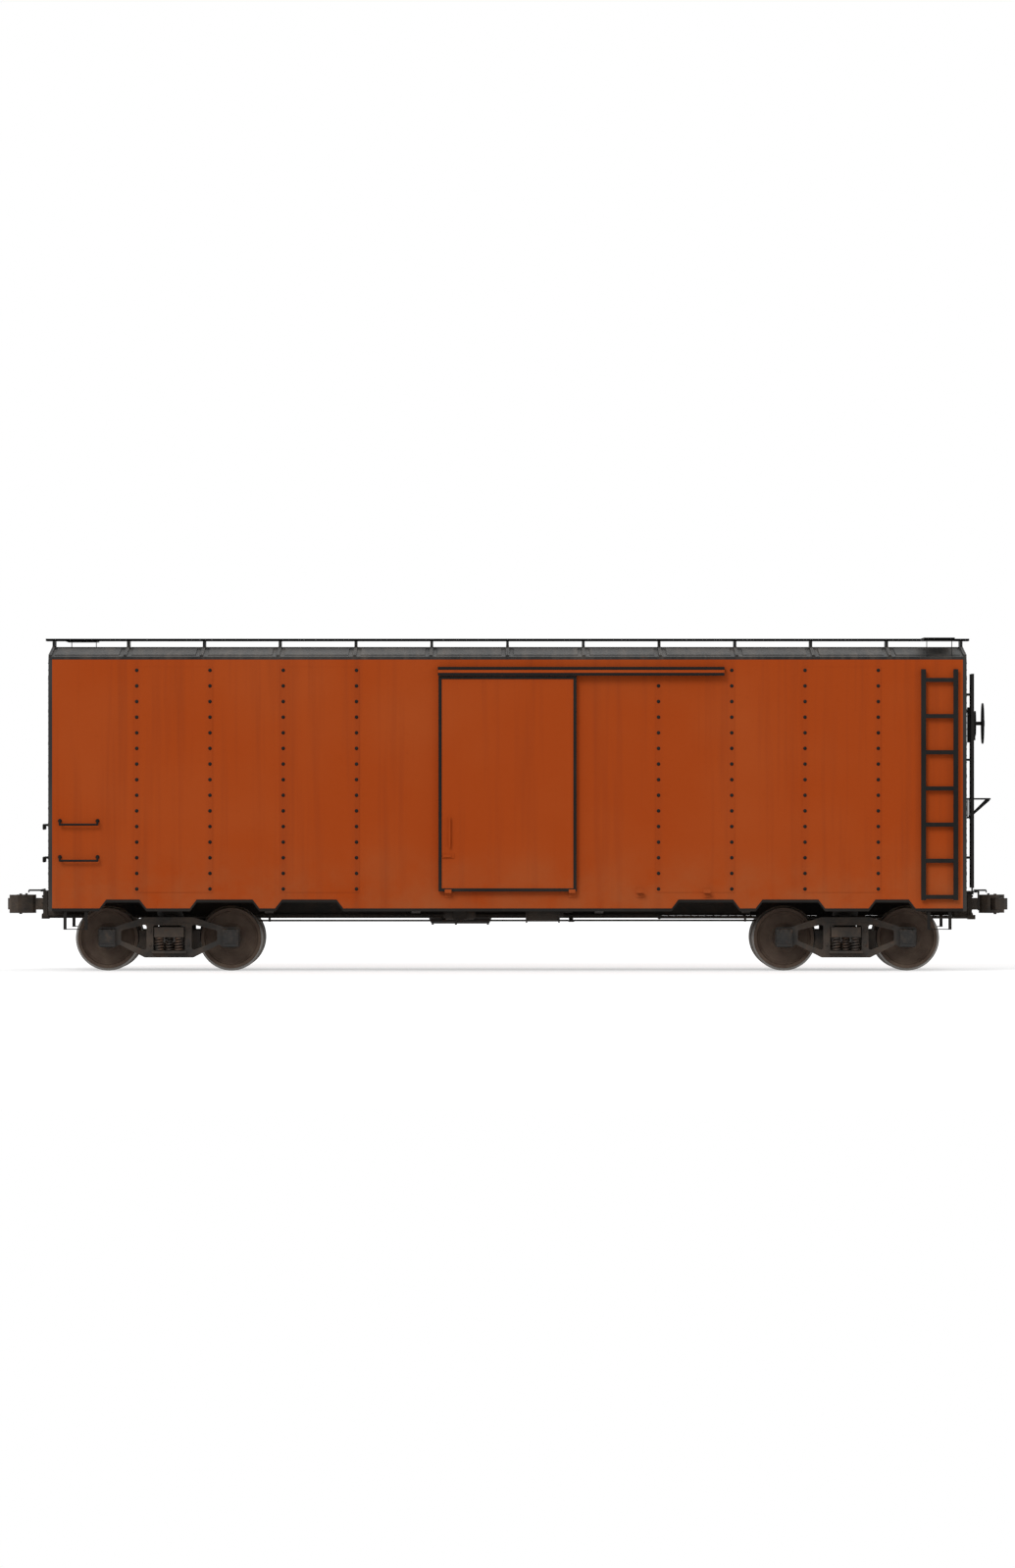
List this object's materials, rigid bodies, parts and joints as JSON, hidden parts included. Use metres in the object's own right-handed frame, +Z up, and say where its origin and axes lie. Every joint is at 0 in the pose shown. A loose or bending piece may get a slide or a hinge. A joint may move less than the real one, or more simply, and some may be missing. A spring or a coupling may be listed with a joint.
{
  "type": "railroad boxcar",
  "caption": "Forty-foot riveted steel boxcar with a sliding door on each side, ladders, roof walk, couplers, brake gear and swivelling four-wheel trucks.",
  "frame": {"origin": "centre of the footprint, at the bottom of the wheel flanges, 25 mm below the top of the rail", "axes": "+X along the car towards the hand brake end, +Y towards the right side, +Z up"},
  "size_m": [13.6878, 3.124, 4.5269],
  "materials": {
    "side_paint": "flat mineral brown paint on riveted steel",
    "black_paint": "semi-gloss black paint",
    "underframe": "black paint with road dust",
    "casting": "rough cast steel",
    "wheel_steel": "forged steel with bright treads",
    "spring_steel": "dark spring steel",
    "timber": "worn hardwood boards",
    "walkway": "black steel grating"
  },
  "bodies": {
    "car": {"centre_sill": "underframe", "centre_sill_cover": "underframe", "body_bolsters": "underframe", "crossbearers": "underframe", "floor_stringers": "underframe", "end_sills": "underframe", "left_side_sill": "side_paint", "right_side_sill": "side_paint", "sill_edge_bars": "black_paint", "floor": "timber", "left_wall_a": "side_paint", "left_wall_b": "side_paint", "right_wall_a": "side_paint", "right_wall_b": "side_paint", "left_side_plate": "side_paint", "right_side_plate": "side_paint", "a_end_wall": "black_paint", "b_end_wall": "black_paint", "roof": "black_paint", "running_board": "walkway", "left_door_track": "black_paint", "right_door_track": "black_paint", "door_guides": "side_paint", "ladder_stiles": "black_paint", "ladder_rungs": "black_paint", "handholds": "black_paint", "sill_steps": "black_paint", "uncoupling_levers": "black_paint", "brake_cylinder": "underframe", "air_reservoir": "underframe", "control_valve": "underframe", "brake_rods": "underframe", "brake_pipe": "underframe", "angle_cocks": "underframe", "hand_brake_gear": "black_paint", "hand_brake_wheel": "black_paint"},
    "left_door": {"left_door": "side_paint", "left_door_frame": "black_paint"},
    "right_door": {"right_door": "side_paint", "right_door_frame": "black_paint"},
    "a_truck": {"a_truck_side_frames": "casting", "a_truck_bolster": "casting", "a_truck_springs": "spring_steel", "a_truck_brake_beams": "casting"},
    "b_truck": {"b_truck_side_frames": "casting", "b_truck_bolster": "casting", "b_truck_springs": "spring_steel", "b_truck_brake_beams": "casting"},
    "a_outer_wheelset": {"a_outer_wheels": "wheel_steel", "a_outer_axle": "wheel_steel"},
    "a_inner_wheelset": {"a_inner_wheels": "wheel_steel", "a_inner_axle": "wheel_steel"},
    "b_inner_wheelset": {"b_inner_wheels": "wheel_steel", "b_inner_axle": "wheel_steel"},
    "b_outer_wheelset": {"b_outer_wheels": "wheel_steel", "b_outer_axle": "wheel_steel"},
    "a_knuckle": {"a_knuckle": "casting"},
    "b_knuckle": {"b_knuckle": "casting"},
    "a_coupler": {"a_coupler": "casting"},
    "b_coupler": {"b_coupler": "casting"}
  },
  "joints": [
    {"name": "left_door_slide", "type": "slide", "parent": "car", "child": "left_door", "axis": [1, 0, 0], "range_m": [0, 1.9]},
    {"name": "right_door_slide", "type": "slide", "parent": "car", "child": "right_door", "axis": [-1, 0, 0], "range_m": [0, 1.9]},
    {"name": "a_truck_swivel", "type": "hinge", "parent": "car", "child": "a_truck", "pos_m": [-4.6, 0, 0.679], "axis": [0, 0, 1], "range_deg": [-8, 8]},
    {"name": "b_truck_swivel", "type": "hinge", "parent": "car", "child": "b_truck", "pos_m": [4.6, 0, 0.679], "axis": [0, 0, 1], "range_deg": [-8, 8]},
    {"name": "a_outer_wheels_roll", "type": "hinge", "parent": "a_truck", "child": "a_outer_wheelset", "pos_m": [-5.438, 0, 0.444], "axis": [0, 1, 0], "continuous": true},
    {"name": "a_inner_wheels_roll", "type": "hinge", "parent": "a_truck", "child": "a_inner_wheelset", "pos_m": [-3.762, 0, 0.444], "axis": [0, 1, 0], "continuous": true},
    {"name": "b_inner_wheels_roll", "type": "hinge", "parent": "b_truck", "child": "b_inner_wheelset", "pos_m": [3.762, 0, 0.444], "axis": [0, 1, 0], "continuous": true},
    {"name": "b_outer_wheels_roll", "type": "hinge", "parent": "b_truck", "child": "b_outer_wheelset", "pos_m": [5.438, 0, 0.444], "axis": [0, 1, 0], "continuous": true},
    {"name": "a_knuckle_open", "type": "hinge", "parent": "a_coupler", "child": "a_knuckle", "pos_m": [-6.671, 0.118, 0.901], "axis": [0, 0, -1], "range_deg": [0, 45]},
    {"name": "b_knuckle_open", "type": "hinge", "parent": "b_coupler", "child": "b_knuckle", "pos_m": [6.671, -0.118, 0.901], "axis": [0, 0, -1], "range_deg": [0, 45]},
    {"name": "a_coupler_swing", "type": "hinge", "parent": "car", "child": "a_coupler", "pos_m": [-6.026, 0, 0.901], "axis": [0, 0, 1], "range_deg": [-4, 4]},
    {"name": "b_coupler_swing", "type": "hinge", "parent": "car", "child": "b_coupler", "pos_m": [6.026, 0, 0.901], "axis": [0, 0, 1], "range_deg": [-4, 4]}
  ]
}
